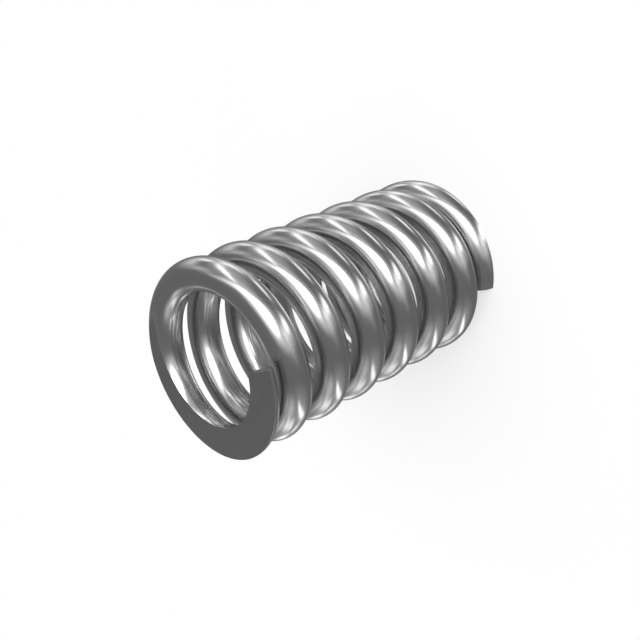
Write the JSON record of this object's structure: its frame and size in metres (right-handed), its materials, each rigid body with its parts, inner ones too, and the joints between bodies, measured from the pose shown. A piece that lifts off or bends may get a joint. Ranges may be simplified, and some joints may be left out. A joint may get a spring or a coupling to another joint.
{
  "type": "compression spring",
  "caption": "Right-hand helical compression spring of round steel wire, open-wound in the middle, with closed end turns ground flat.",
  "frame": {"origin": "centre of the lower ground seat, on the coil axis", "axes": "+Z along the coil axis from the lower seat to the upper one; +X towards the lower wire tip"},
  "size_m": [0.0126, 0.0126, 0.021],
  "materials": {
    "spring_wire": "bright drawn wire with fine lengthwise draw marks; end seats ground flat to a darker satin"
  },
  "bodies": {
    "root": {"coil_spring": "spring_wire"}
  },
  "joints": []
}
